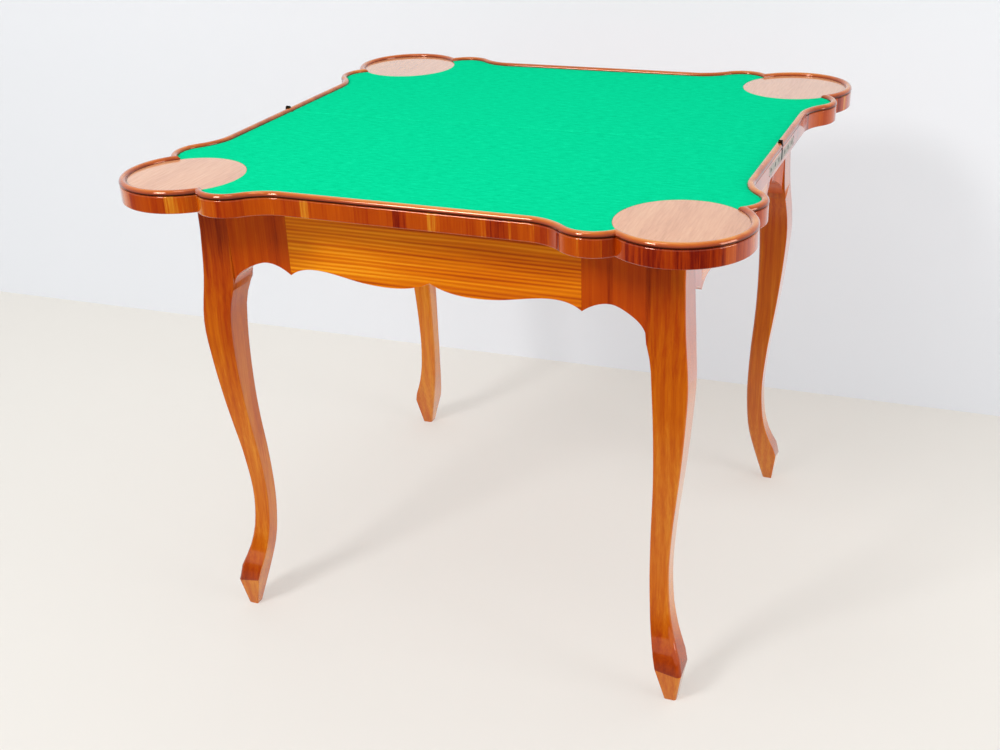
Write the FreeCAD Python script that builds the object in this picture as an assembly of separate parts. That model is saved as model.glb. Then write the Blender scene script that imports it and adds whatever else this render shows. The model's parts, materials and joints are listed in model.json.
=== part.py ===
import FreeCAD, Part
import math
import os

# Folding game table: a square top of two hinged leaves on a frame whose rear half
# draws forward on folding side boards.
# Millimetres. +Z up, X along the fold between the leaves, -Y towards the front.
# The origin is on the floor under the middle of the open top.

os.makedirs("parts", exist_ok=True)

# Heights and thicknesses of the leaves
table_height = 750.0
leaf_edge = 33.0
rim_width = 10.5
rim_rise = 5.0
rim_seat = 8.0
rim_shoulder = 0.6
quirk_height = 1.8
quirk_depth = 2.2
band_thickness = 3.0
band_inset = 0.5
band_round = 2.0
cloth_thickness = 1.5
cloth_gap = 0.3
disc_thickness = 3.0
leaf_gap = 0.3
fold_rise = 0.2

# Outline of the open top, measured at the inner line of the rim
side_inset = 402.0
side_straight = 176.0
ear_place = 262.0
ear_swell = 34.0
ear_radius = 41.0
disc_place = 360.0
disc_radius = 84.0

# Frame
frame_half_length = 364.0
frame_half_depth = 346.0
face_recess = 11.0
post_width = 50.0
front_block_reach = 142.0
side_block_reach = 133.0
block_thickness = 34.0
block_flat = 44.0
apron_depth = 119.0
apron_thickness = 20.0
scallop_rise = 14.0
arch_rise = 15.0
arch_shoulder = 578.0
slide_gap = 0.3
tenon_length = 24.0
tenon_thickness = 8.0
tenon_depth = 70.0
tenon_gap = 0.15
arris_round = 2.5

# Flaps of the folding sides and their butt hinges
flap_thickness = 18.0
flap_gap = 0.5
pivot_proud = 1.0
hinge_height = 64.0
hinge_drop = 22.0
hinge_plate_width = 14.0
hinge_plate_thickness = 1.2
knuckle_radius = 2.6
knuckle_gap = 0.3
butt_pin_radius = 1.2
pin_gap = 0.05
plate_screw_radius = 1.4
plate_screw_head_radius = 2.6
plate_screw_head_depth = 0.8
plate_screw_length = 13.0

# Card-table hinges let into the edges of the leaves
leaf_plate_length = 88.0
leaf_plate_height = 13.0
leaf_plate_thickness = 3.0
leaf_plate_drop = 12.8
leaf_knuckle_radius = 3.4
leaf_knuckle_gap = 0.3
leaf_pin_radius = 1.6
leaf_arm_width = 3.8
leaf_notch = 4.6
leaf_screw_radius = 1.7
leaf_screw_head_radius = 3.4
leaf_screw_head_depth = 1.2
leaf_screw_length = 16.0

# Blocks and screws inside the frame
corner_block_leg = 42.0
corner_block_height = 90.0
batten_setback = 32.0
batten_width = 20.0
batten_depth = 20.0
batten_screw_radius = 2.0
batten_screw_head_radius = 4.0
batten_screw_head_depth = 2.4
batten_screw_length = 34.0
batten_screw_count = 4
screw_gap = 0.05
fit_gap = 0.1
overrun = 5.0
mitre_steps = 12

# Curve of a leg: height as a share of the leg's height, and the outward place of the
# face, from the corner of the frame, as a share of the post's width
outer_line_shares = [
    (0.915, 0.0), (0.823, 0.055), (0.718, 0.19), (0.628, 0.13), (0.530, 0.0),
    (0.460, -0.12), (0.391, -0.24), (0.290, -0.34), (0.209, -0.28), (0.160, -0.14),
    (0.125, 0.03), (0.098, 0.19), (0.078, 0.26),
]
inner_line_shares = [
    (0.757, -0.845), (0.708, -0.79), (0.655, -0.76), (0.586, -0.75), (0.516, -0.765),
    (0.460, -0.80), (0.391, -0.86), (0.307, -0.90), (0.251, -0.895), (0.181, -0.83),
    (0.139, -0.74), (0.078, -0.54),
]
foot_shares = (0.10, -0.26)
# Lower edge of an apron, from its middle to its end: place as a share of half its
# length, and height over its lowest line as a share of the scallop's rise
scallop_shares = [
    (0.0, 1.0), (0.09, 0.42), (0.20, 0.08), (0.33, 0.0), (0.50, 0.22), (0.66, 0.68),
    (0.80, 0.93), (0.90, 0.80), (1.0, 0.07),
]
# Arch under a block, from the post to its end: place as a share of the reach past the
# post, and height over the cusp as a share of the arch's rise
arch_shares = [(0.06, -0.50), (0.24, 0.35), (0.62, 1.0), (0.84, 0.62), (1.0, 0.0)]
plate_screw_shares = (0.2, 0.5, 0.8)
leaf_screw_shares = (0.24, 0.52, 0.86)
# How far the middle of a quarter arc stays off its corner, as a share of the radius
arc_middle_share = 1.0 - math.sqrt(0.5)

# Levels that follow from the heights
rim_top = table_height
leaf_under = table_height - leaf_edge
field_top = table_height - rim_rise
rim_under = table_height - rim_seat
core_top = field_top - cloth_thickness
frame_top = leaf_under - slide_gap
cusp_level = leaf_under - apron_depth
scallop_low = cusp_level - scallop_rise * scallop_shares[-1][1]
fold_axis = rim_top + fold_rise

# Places that follow from the outline
bulge_turn = 2.0 * math.atan(ear_swell / (ear_place - side_straight))
hollow_radius = (ear_place - side_straight) / math.sin(bulge_turn) - ear_radius
panel_offset = rim_width - band_inset - band_thickness
band_offset = rim_width - band_inset
face_x = frame_half_length - face_recess
face_y = frame_half_depth - face_recess
front_cusp = frame_half_length - front_block_reach
side_cusp = frame_half_depth - side_block_reach
batten_half_length = front_cusp - batten_setback
flap_inner = face_x - flap_thickness
inner_pivot = flap_inner - pivot_proud
outer_pivot = face_x + pivot_proud
hinge_top = frame_top - hinge_drop
hinge_bottom = hinge_top - hinge_height


def vec(x, y, z=0.0):
    return FreeCAD.Vector(x, y, z)


def save(name, *solids):
    shape = solids[0] if len(solids) == 1 else Part.makeCompound(list(solids))
    shape.exportStep("parts/" + name + ".step")


def box(x0, x1, y0, y1, z0, z1):
    low = vec(min(x0, x1), min(y0, y1), min(z0, z1))
    return Part.makeBox(abs(x1 - x0), abs(y1 - y0), abs(z1 - z0), low)


def rod(radius, start, end):
    along = end.sub(start)
    return Part.makeCylinder(radius, along.Length, start, along)


def flip_x(shape):
    return shape.mirror(vec(0, 0), vec(1, 0))


def flip_y(shape):
    return shape.mirror(vec(0, 0), vec(0, 1))


def corner(shape, side, end):
    # A shape made for the front right, moved to the side and end asked for
    placed = shape if side > 0 else flip_x(shape)
    return placed if end < 0 else flip_y(placed)


def prism(wire, run):
    return Part.Face(wire).extrude(run)


def polygon(points):
    return Part.makePolygon(points + [points[0]])


def spline(points):
    curve = Part.BSplineCurve()
    curve.interpolate(points)
    return curve.toShape()


# Outline of a leaf

def arc_edge(centre, radius, start, end):
    angles = (start, (start + end) / 2.0, end)
    places = [
        centre.add(vec(radius * math.cos(a), radius * math.sin(a))) for a in angles
    ]
    return Part.Arc(*places).toShape()


def notch_point(offset):
    # Where the ear and the round corner meet, at an offset from the inner line
    ear = ear_centre()
    disc = vec(disc_place, -disc_place)
    r_ear = ear_radius + offset
    r_disc = disc_radius + offset
    gap = ear.sub(disc)
    along = (r_disc ** 2 - r_ear ** 2 + gap.Length ** 2) / (2.0 * gap.Length)
    across = math.sqrt(r_disc ** 2 - along ** 2)
    u = vec(gap.x / gap.Length, gap.y / gap.Length)
    return disc.add(vec(along * u.x + across * u.y, along * u.y - across * u.x))


def ear_centre():
    reach = hollow_radius + ear_radius
    return vec(
        side_inset + hollow_radius - reach * math.cos(bulge_turn),
        -side_straight - reach * math.sin(bulge_turn),
    )


def angle_from(centre, point):
    return math.atan2(point.y - centre.y, point.x - centre.x)


def side_edges(offset, start):
    # Right side of the front leaf, from the fold to the notch at the corner
    ear = ear_centre()
    hollow = vec(side_inset + hollow_radius, -side_straight)
    notch = notch_point(offset)
    begin = vec(side_inset + offset, start)
    bend = vec(side_inset + offset, -side_straight)
    line = Part.makeLine(begin, bend)
    sweep = arc_edge(hollow, hollow_radius - offset, math.pi, math.pi + bulge_turn)
    swell = arc_edge(ear, ear_radius + offset, bulge_turn, angle_from(ear, notch))
    return [line, sweep, swell], notch


def diagonal_mirror(shape):
    return shape.mirror(vec(0, 0), vec(1, 1))


def quarter_edges(offset, start):
    # Right side, round corner and right half of the front edge
    side, notch = side_edges(offset, start)
    disc = vec(disc_place, -disc_place)
    first = angle_from(disc, notch)
    last = -math.pi / 2.0 - first
    corner_arc = arc_edge(disc, disc_radius + offset, first, last)
    front = [diagonal_mirror(edge) for edge in side_edges(offset, 0.0)[0]]
    return side + [corner_arc] + front


def leaf_path(offset, start=-leaf_gap / 2.0):
    right = quarter_edges(offset, start)
    left = [flip_x(edge) for edge in right]
    return Part.Wire(Part.sortEdges(right + left)[0])


def leaf_face(offset, start=-leaf_gap / 2.0):
    path = leaf_path(offset, start)
    ends = Part.makeLine(
        vec(-side_inset - offset, start), vec(side_inset + offset, start)
    )
    return Part.Face(Part.Wire(Part.sortEdges(path.Edges + [ends])[0]))


def leaf_slab(offset, low, high):
    face = leaf_face(offset)
    face.translate(vec(0, 0, low))
    return face.extrude(vec(0, 0, high - low))


# Pieces of a leaf, made as the front one

def disc_solid(side, radius, low, high):
    return Part.makeCylinder(radius, high - low, vec(side * disc_place, -disc_place, low))


def make_panel():
    panel = leaf_slab(panel_offset, leaf_under, rim_under)
    panel = panel.fuse(leaf_slab(0.0, rim_under, core_top))
    for side in (1, -1):
        low = field_top - disc_thickness
        panel = panel.cut(disc_solid(side, disc_radius, low, field_top))
    for side in (1, -1):
        panel = panel.cut(leaf_hinge_room(side))
    return panel.removeSplitter()


def rim_section(at):
    # Half-round bead over a shoulder, with a quirk under its outer side
    middle = rim_width / 2.0
    lip = rim_under + quirk_height
    inner = field_top + rim_shoulder
    quirk = rim_width - band_inset - quirk_depth
    slack = (rim_top - inner) * arc_middle_share
    crown_in = at(middle * arc_middle_share, rim_top - slack)
    drop = (rim_top - lip - rim_shoulder) * arc_middle_share
    crown_out = at(rim_width - middle * arc_middle_share, rim_top - drop)
    edges = [
        Part.makeLine(at(0, rim_under), at(0, inner)),
        Part.Arc(at(0, inner), crown_in, at(middle, rim_top)).toShape(),
        Part.Arc(
            at(middle, rim_top), crown_out, at(rim_width, lip + rim_shoulder)
        ).toShape(),
        Part.makeLine(at(rim_width, lip + rim_shoulder), at(rim_width, lip)),
        Part.makeLine(at(rim_width, lip), at(quirk, lip)),
        Part.makeLine(at(quirk, lip), at(quirk, rim_under)),
        Part.makeLine(at(quirk, rim_under), at(0, rim_under)),
    ]
    return Part.Wire(edges)


def band_section(at):
    # Crossbanded edge with its upper and lower arrises rounded
    inner = panel_offset
    outer = band_offset
    turn = band_round * arc_middle_share
    top_bend = at(outer - turn, rim_under - turn)
    low_bend = at(outer - turn, leaf_under + turn)
    edges = [
        Part.makeLine(at(inner, leaf_under), at(inner, rim_under)),
        Part.makeLine(at(inner, rim_under), at(outer - band_round, rim_under)),
        Part.Arc(
            at(outer - band_round, rim_under), top_bend, at(outer, rim_under - band_round)
        ).toShape(),
        Part.makeLine(
            at(outer, rim_under - band_round), at(outer, leaf_under + band_round)
        ),
        Part.Arc(
            at(outer, leaf_under + band_round), low_bend, at(outer - band_round, leaf_under)
        ).toShape(),
        Part.makeLine(at(outer - band_round, leaf_under), at(inner, leaf_under)),
    ]
    return Part.Wire(edges)


def radial_section(section, centre, radius, angle):
    # The section standing on a ray from a centre, its offsets counted along the ray
    sign = 1.0 if radius > 0 else -1.0

    def at(offset, level):
        reach = abs(radius) + sign * offset
        return centre.add(vec(reach * math.cos(angle), reach * math.sin(angle), level))

    return Part.Face(section(at))


def turned(section, centre, radius, start, end):
    face = radial_section(section, centre, radius, start)
    return face.revolve(centre, vec(0, 0, 1), math.degrees(end - start))


def mitre_waste(side):
    # The room on one side of the notch's mitre, to be cut away. The mitre bends a
    # little, because it keeps the same offset from both arcs.
    steps = [i * rim_width / mitre_steps for i in range(-mitre_steps // 3, 2 * mitre_steps)]
    mitre = spline([notch_point(step) for step in steps])
    first = mitre.Vertexes[0].Point
    last = mitre.Vertexes[-1].Point
    across = vec(0, -side * disc_radius)
    plan = Part.Wire([
        mitre,
        Part.makeLine(last, last.add(across)),
        Part.makeLine(last.add(across), first.add(across)),
        Part.makeLine(first.add(across), first),
    ])
    room = prism(plan, vec(0, 0, leaf_edge + 2.0 * overrun))
    room.translate(vec(0, 0, leaf_under - overrun))
    return room


def run_round(section):
    # A moulding of the given section round the front leaf, mitred at the notches
    start = -leaf_gap / 2.0
    hollow = vec(side_inset + hollow_radius, -side_straight)
    ear = ear_centre()
    disc = vec(disc_place, -disc_place)

    def straight_at(offset, level):
        return vec(side_inset + offset, 0, level)

    face = Part.Face(section(straight_at))
    whole = face.extrude(vec(0, -side_straight, 0))
    side = face.copy()
    side.translate(vec(0, start, 0))
    side = side.extrude(vec(0, -side_straight - start, 0))
    bend = turned(section, hollow, -hollow_radius, math.pi, math.pi + bulge_turn)
    last = angle_from(ear, notch_point(0.0)) - overrun / ear_radius
    swell = turned(section, ear, ear_radius, bulge_turn, last).cut(mitre_waste(1))
    curve = bend.fuse(swell)
    first = angle_from(disc, notch_point(0.0)) + overrun / disc_radius
    turn = turned(section, disc, disc_radius, first, -math.pi / 2.0 - first)
    turn = turn.cut(mitre_waste(-1)).cut(diagonal_mirror(mitre_waste(-1)))
    half = side.fuse([curve, turn, diagonal_mirror(curve), diagonal_mirror(whole)])
    return half.fuse(flip_x(half)).removeSplitter()


def make_rim():
    rim = run_round(rim_section)
    for side in (1, -1):
        rim = rim.cut(leaf_hinge_room(side))
    return rim


def make_band():
    band = run_round(band_section)
    for side in (1, -1):
        band = band.cut(leaf_hinge_room(side))
    return band


def make_cloth():
    cloth = leaf_slab(-cloth_gap, core_top, field_top)
    for side in (1, -1):
        cloth = cloth.cut(disc_solid(side, disc_radius + cloth_gap, core_top, field_top))
    return cloth


# Card-table hinge of one side, its plate on the front leaf

def leaf_plate_faces():
    outer = side_inset + band_offset
    return outer - leaf_plate_thickness, outer


def leaf_hinge_room(side):
    # Wood cut away for the plate and the knuckles, on the front leaf
    inner, outer = leaf_plate_faces()
    top = rim_top - leaf_plate_drop
    past = outer + overrun
    plate = box(inner - fit_gap, past, overrun, -leaf_plate_length - fit_gap,
                top - leaf_plate_height - fit_gap, top + fit_gap)
    knuckles = box(inner - leaf_plate_thickness - 2.0 * leaf_knuckle_gap, past,
                   overrun, -leaf_notch, top, rim_top + overrun)
    low_knuckle = box(inner - leaf_plate_thickness - 2.0 * leaf_knuckle_gap, past,
                      overrun, -leaf_notch, top - leaf_plate_height - fit_gap, top)
    room = plate.fuse(knuckles).fuse(low_knuckle)
    for share in leaf_screw_shares:
        y = -share * leaf_plate_length
        z = top - leaf_plate_height / 2.0
        room = room.fuse(rod(leaf_screw_radius + screw_gap, vec(outer, y, z),
                             vec(outer - leaf_screw_length - screw_gap, y, z)))
    return room if side > 0 else flip_x(room)


def leaf_hinge_plate(end):
    # Right-hand plate of the front leaf (end -1) or the rear leaf (end 1)
    inner, outer = leaf_plate_faces()
    top = rim_top - leaf_plate_drop
    start = end * leaf_gap / 2.0
    plate = box(inner, outer, start, end * leaf_plate_length,
                top - leaf_plate_height, top)
    far_edges = [
        edge for edge in plate.Edges
        if abs(edge.CenterOfMass.y) > leaf_plate_length - fit_gap
        and abs(edge.CenterOfMass.x - (inner + outer) / 2.0) < fit_gap
    ]
    plate = plate.makeFillet(leaf_plate_height / 2.0 - fit_gap, far_edges)
    if end < 0:
        slab_low, slab_high = inner + leaf_knuckle_gap / 2.0, outer
    else:
        slab_low = inner - leaf_plate_thickness
        slab_high = inner - leaf_knuckle_gap / 2.0
    arm = box(slab_low, slab_high, start, end * leaf_arm_width,
              top - leaf_plate_height, fold_axis)
    eye = rod(leaf_knuckle_radius, vec(slab_low, 0, fold_axis), vec(slab_high, 0, fold_axis))
    hinge = plate.fuse(arm)
    if end > 0:
        link = box(slab_low, outer, start, end * leaf_arm_width,
                   top - leaf_plate_height, top)
        hinge = hinge.fuse(link)
    swing = leaf_knuckle_radius + leaf_knuckle_gap
    if end < 0:
        other_low, other_high = inner - leaf_plate_thickness, inner
    else:
        other_low, other_high = inner, outer
    hinge = hinge.cut(rod(swing, vec(other_low, 0, fold_axis), vec(other_high, 0, fold_axis)))
    hinge = hinge.fuse(eye)
    bore = leaf_pin_radius + (pin_gap if end > 0 else 0.0)
    hinge = hinge.cut(rod(bore, vec(inner - 2.0 * leaf_plate_thickness, 0, fold_axis),
                          vec(outer + overrun, 0, fold_axis)))
    for share in leaf_screw_shares:
        y = end * share * leaf_plate_length
        z = top - leaf_plate_height / 2.0
        hinge = hinge.cut(countersunk(vec(outer, y, z), vec(-1, 0), leaf_screw_radius,
                                      leaf_screw_head_radius, leaf_screw_head_depth,
                                      leaf_screw_length, screw_gap))
    return hinge.removeSplitter()


def countersunk(head, direction, radius, head_radius, head_depth, length, gap=0.0):
    # A countersunk screw, its flat head at the place given
    shank = Part.makeCylinder(radius + gap, length + gap, head, direction)
    cone = Part.makeCone(head_radius + gap, radius + gap, head_depth + gap, head, direction)
    return shank.fuse(cone)


def leaf_hinge_pin(side):
    inner, outer = leaf_plate_faces()
    return rod(leaf_pin_radius, vec(side * (inner - leaf_plate_thickness), 0, fold_axis),
               vec(side * outer, 0, fold_axis))


def leaf_hinge_screws(end):
    outer = leaf_plate_faces()[1]
    z = rim_top - leaf_plate_drop - leaf_plate_height / 2.0
    screws = []
    for side in (1, -1):
        for share in leaf_screw_shares:
            place = vec(side * outer, end * share * leaf_plate_length, z)
            screws.append(countersunk(place, vec(-side, 0), leaf_screw_radius,
                                      leaf_screw_head_radius, leaf_screw_head_depth,
                                      leaf_screw_length))
    return screws


# Legs and the blocks beside them, made for the front right corner

def line_points(shares):
    return [
        vec(frame_half_length + out * post_width, 0, level * leaf_under)
        for level, out in shares
    ]


def leg_silhouette(top):
    # Seen from the front: outer line, foot, inner line and post
    outer = line_points(outer_line_shares)
    inner = line_points(inner_line_shares)
    foot_out = vec(frame_half_length + foot_shares[0] * post_width, 0, 0)
    foot_in = vec(frame_half_length + foot_shares[1] * post_width, 0, 0)
    post = frame_half_length - post_width
    shoulder = vec(post, 0, arch_shoulder)
    edges = [
        Part.makeLine(vec(frame_half_length, 0, top), outer[0]),
        spline(outer),
        Part.makeLine(outer[-1], foot_out),
        Part.makeLine(foot_out, foot_in),
        Part.makeLine(foot_in, inner[-1]),
        spline(list(reversed(inner))),
        spline([inner[0], inner[0].add(shoulder.sub(inner[0]).multiply(0.5)), shoulder]),
        Part.makeLine(shoulder, vec(post, 0, top)),
        Part.makeLine(vec(post, 0, top), vec(frame_half_length, 0, top)),
    ]
    return Part.Wire(edges)


def make_leg(top):
    wire = leg_silhouette(top)
    reach = frame_half_length
    front_view = prism(wire, vec(0, 2.0 * reach, 0))
    front_view.translate(vec(0, -reach, 0))
    side_view = front_view.copy()
    side_view.rotate(vec(0, 0), vec(0, 0, 1), -90.0)
    front_view.translate(vec(0, -reach, 0))
    side_view.translate(vec(frame_half_length, frame_half_length - frame_half_depth, 0))
    leg = front_view.common(side_view).Solids[0]
    return leg.makeFillet(arris_round, [edge for edge in leg.Edges if on_arris(edge)])


def on_arris(edge):
    # True of the long edges of the leg's outer corner
    middle = edge.CenterOfMass
    off_corner = middle.x - frame_half_length + middle.y + frame_half_depth
    outer = middle.x > frame_half_length - post_width / 4.0
    return outer and abs(off_corner) < arris_round and edge.BoundBox.ZLength > post_width / 2.0


def arch_edge(post, end):
    # Lower edge of a block as seen square on, from the post to its cusp
    span = post - end
    points = [
        vec(post - share * span, 0, cusp_level + rise * arch_rise)
        for share, rise in arch_shares
    ]
    shoulder = vec(post, 0, arch_shoulder)
    return spline([shoulder] + points)


def make_block(reach, top):
    # Block on the front face, from the right-hand post towards the middle
    post = frame_half_length - post_width
    end = frame_half_length - reach
    tip = vec(end, 0, cusp_level)
    wire = Part.Wire([
        arch_edge(post, end),
        Part.makeLine(tip, vec(end, 0, top)),
        Part.makeLine(vec(end, 0, top), vec(post, 0, top)),
        Part.makeLine(vec(post, 0, top), vec(post, 0, arch_shoulder)),
    ])
    solid = prism(wire, vec(0, 2.0 * block_thickness, 0))
    solid.translate(vec(0, -frame_half_depth - overrun, 0))
    plan_front = -frame_half_depth
    plan_face = -face_y
    flat_end = end + block_flat
    middle = (post + flat_end) / 2.0
    sweep = spline([
        vec(post, plan_front), vec(middle, (plan_front + plan_face) / 2.0),
        vec(flat_end, plan_face),
    ])
    back = plan_face + block_thickness
    plan = Part.Wire([
        sweep,
        Part.makeLine(vec(flat_end, plan_face), vec(end, plan_face)),
        Part.makeLine(vec(end, plan_face), vec(end, back)),
        Part.makeLine(vec(end, back), vec(post, back)),
        Part.makeLine(vec(post, back), vec(post, plan_front)),
    ])
    column = prism(plan, vec(0, 0, top))
    return solid.common(column)


def make_front_block(top):
    block = make_block(front_block_reach, top)
    return block.cut(apron_tenon(tenon_gap))


def make_side_block(top):
    block = make_block(side_block_reach, top)
    block.rotate(vec(0, 0), vec(0, 0, 1), 90.0)
    block = flip_y(block)
    block.translate(vec(frame_half_length - frame_half_depth, 0, 0))
    shift = frame_half_depth - frame_half_length
    block.translate(vec(0, -shift, 0))
    return block


# Aprons and flaps

def scallop_edge(half):
    points = [
        vec(share * half, 0, scallop_low + rise * scallop_rise)
        for share, rise in scallop_shares
    ]
    return spline(points)


def apron_tenon(gap):
    # Right-hand tenon of an apron, and with a gap its mortise
    middle = -face_y + apron_thickness / 2.0
    high = (leaf_under + cusp_level + scallop_rise) / 2.0
    half = tenon_depth / 2.0 + gap
    across = tenon_thickness / 2.0 + gap
    return box(front_cusp - gap, front_cusp + tenon_length + gap, middle - across,
               middle + across, high - half, high + half)


def make_apron(top):
    half = front_cusp
    right = scallop_edge(half)
    left = flip_x(right)
    low_end = right.Vertexes[-1].Point
    wire = Part.Wire(Part.sortEdges([
        right, left,
        Part.makeLine(low_end, vec(half, 0, top)),
        Part.makeLine(vec(half, 0, top), vec(-half, 0, top)),
        Part.makeLine(vec(-half, 0, top), vec(-low_end.x, 0, low_end.z)),
    ])[0])
    board = prism(wire, vec(0, apron_thickness, 0))
    board.translate(vec(0, -face_y, 0))
    tenon = apron_tenon(0.0)
    return board.fuse(tenon).fuse(flip_x(tenon)).removeSplitter()


def make_flap():
    # Front flap of the right side, from the middle joint to the block's end
    half = side_cusp
    low = scallop_edge(half)
    far = vec(half, 0, low.Vertexes[-1].Point.z)
    near = vec(0, 0, low.Vertexes[0].Point.z)
    wire = Part.Wire([
        low,
        Part.makeLine(far, vec(half, 0, frame_top)),
        Part.makeLine(vec(half, 0, frame_top), vec(0, 0, frame_top)),
        Part.makeLine(vec(0, 0, frame_top), near),
    ])
    board = prism(wire, vec(0, flap_thickness, 0))
    board.rotate(vec(0, 0), vec(0, 0, 1), -90.0)
    board.translate(vec(flap_inner, 0, 0))
    keep = box(flap_inner, face_x, -flap_gap / 2.0, -half + flap_gap, 0, frame_top)
    return board.common(keep)


# Butt hinges of the folding sides

def knuckle_levels():
    step = hinge_height / 3.0
    return [hinge_bottom + step * i for i in range(4)]


def butt_leaf(pivot_x, pivot_y, side_y, reach_x, outer_pair):
    # Plate at the end of a board, side_y from the pivot, reaching reach_x
    near = pivot_y + side_y * flap_gap / 2.0
    far = near + side_y * hinge_plate_thickness
    plate = box(pivot_x, pivot_x + reach_x * hinge_plate_width, near, far,
                hinge_bottom, hinge_top)
    levels = knuckle_levels()
    mine = [(levels[0], levels[1]), (levels[2], levels[3])] if outer_pair else [
        (levels[1], levels[2])
    ]
    other = [(levels[1], levels[2])] if outer_pair else [
        (levels[0], levels[1]), (levels[2], levels[3])
    ]
    leaf = plate
    clear = knuckle_radius + knuckle_gap
    for low, high in other:
        leaf = leaf.cut(Part.makeCylinder(clear, high - low, vec(pivot_x, pivot_y, low)))
    for low, high in mine:
        trim = knuckle_gap / 2.0
        start = low + (trim if low > hinge_bottom else 0.0)
        stop = high - (trim if high < hinge_top else 0.0)
        ring = Part.makeCylinder(knuckle_radius, stop - start, vec(pivot_x, pivot_y, start))
        leaf = leaf.fuse(ring)
    bore = butt_pin_radius + (0.0 if outer_pair else pin_gap)
    leaf = leaf.cut(Part.makeCylinder(bore, hinge_height, vec(pivot_x, pivot_y, hinge_bottom)))
    for screw in plate_screws(pivot_x, pivot_y, side_y, reach_x, screw_gap):
        leaf = leaf.cut(screw)
    return leaf


def plate_screws(pivot_x, pivot_y, side_y, reach_x, gap=0.0):
    x = pivot_x + reach_x * (hinge_plate_width + knuckle_radius) / 2.0
    y = pivot_y + side_y * flap_gap / 2.0
    return [
        countersunk(vec(x, y, hinge_bottom + share * hinge_height), vec(0, side_y),
                    plate_screw_radius, plate_screw_head_radius,
                    plate_screw_head_depth, plate_screw_length, gap)
        for share in plate_screw_shares
    ]


def butt_room(pivot_x, pivot_y, side_y, reach_x):
    # Wood cut away for the plate, the knuckles and the screws
    far = pivot_y + side_y * (flap_gap / 2.0 + hinge_plate_thickness + fit_gap)
    plate = box(pivot_x, pivot_x + reach_x * (hinge_plate_width + fit_gap),
                pivot_y - side_y * overrun, far, hinge_bottom - fit_gap, hinge_top + fit_gap)
    barrel = Part.makeCylinder(knuckle_radius + knuckle_gap, hinge_height + 2.0 * fit_gap,
                               vec(pivot_x, pivot_y, hinge_bottom - fit_gap))
    room = plate.fuse(barrel)
    for screw in plate_screws(pivot_x, pivot_y, side_y, reach_x, screw_gap):
        room = room.fuse(screw)
    return room


def butt_pin(pivot_x, pivot_y):
    return Part.makeCylinder(butt_pin_radius, hinge_height, vec(pivot_x, pivot_y, hinge_bottom))


# The three pivots of the right side: their place and how their plates lie
front_pivot = (inner_pivot, -side_cusp + flap_gap / 2.0, 1)
middle_pivot = (outer_pivot, 0.0, -1)
rear_pivot = (inner_pivot, side_cusp - flap_gap / 2.0, 1)


def place_side(shape, side):
    return shape if side > 0 else flip_x(shape)


def write_leaf(name, end):
    def turn(shape):
        return shape if end < 0 else flip_y(shape)

    panel = make_panel()
    if end < 0:
        for screw in batten_screws(screw_gap):
            panel = panel.cut(screw)
    save(name + "_leaf_panel", turn(panel))
    save(name + "_leaf_rim", turn(make_rim()))
    save(name + "_leaf_crossband", turn(make_band()))
    save(name + "_leaf_baize", turn(make_cloth()))
    for side, word in ((1, "right"), (-1, "left")):
        low = field_top - disc_thickness
        disc = disc_solid(side, disc_radius, low, field_top)
        save(name + "_" + word + "_candle_disc", turn(disc))
        plate = leaf_hinge_plate(end)
        save(name + "_" + word + "_leaf_hinge_plate", place_side(plate, side))
    save(name + "_leaf_hinge_screws", *leaf_hinge_screws(end))


def write_frame(name, end, top):
    leg = make_leg(top)
    front_block = make_front_block(top)
    side_block = make_side_block(top)
    pivot_x, pivot_y, reach = front_pivot
    side_block = side_block.cut(butt_room(pivot_x, pivot_y, -1, reach))
    leaves = []
    screws = []
    for side, word in ((1, "right"), (-1, "left")):
        label = name + "_" + word
        save(label + "_leg", corner(leg, side, end))
        save(label + "_face_block", corner(front_block, side, end))
        save(label + "_side_block", corner(side_block, side, end))
        leaf = butt_leaf(pivot_x, pivot_y, -1, reach, end < 0)
        leaves.append(corner(leaf, side, end))
        for screw in plate_screws(pivot_x, pivot_y, -1, reach):
            screws.append(corner(screw, side, end))
    save(name + "_frame_hinge_leaves", *leaves)
    save(name + "_frame_hinge_screws", *screws)
    save(name + "_apron", corner(make_apron(top), 1, end))
    block = make_corner_block(top)
    save(name + "_corner_blocks", corner(block, 1, end), corner(block, -1, end))


def make_corner_block(top):
    # Glue block behind the post, against both blocks of a corner
    x = face_x - block_thickness
    y = -face_y + block_thickness
    post_x = frame_half_length - post_width
    post_y = -frame_half_depth + post_width
    plan = polygon([
        vec(post_x, y), vec(post_x - corner_block_leg, y), vec(x, post_y + corner_block_leg),
        vec(x, post_y), vec(post_x, post_y),
    ])
    block = prism(plan, vec(0, 0, corner_block_height))
    block.translate(vec(0, 0, top - corner_block_height))
    return block


def write_flaps():
    for side, word in ((1, "right"), (-1, "left")):
        for end, place in ((-1, "front"), (1, "rear")):
            flap = make_flap()
            fx, fy, freach = front_pivot
            mx, my, mreach = middle_pivot
            flap = flap.cut(butt_room(fx, fy, 1, freach))
            flap = flap.cut(butt_room(mx, my, -1, mreach))
            outer_leaf = butt_leaf(fx, fy, 1, freach, end > 0)
            inner_leaf = butt_leaf(mx, my, -1, mreach, end < 0)
            label = word + "_" + place + "_flap"
            save(label, corner(flap, side, end))
            save(label + "_hinge_leaves", corner(outer_leaf, side, end),
                 corner(inner_leaf, side, end))
            screws = plate_screws(fx, fy, 1, freach) + plate_screws(mx, my, -1, mreach)
            save(label + "_hinge_screws", *[corner(screw, side, end) for screw in screws])
        save(word + "_middle_hinge_pin", place_side(butt_pin(*middle_pivot[:2]), side))
        save(word + "_rear_hinge_pin", place_side(butt_pin(*rear_pivot[:2]), side))
    pin = butt_pin(*front_pivot[:2])
    save("front_hinge_pins", pin, flip_x(pin))


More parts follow.
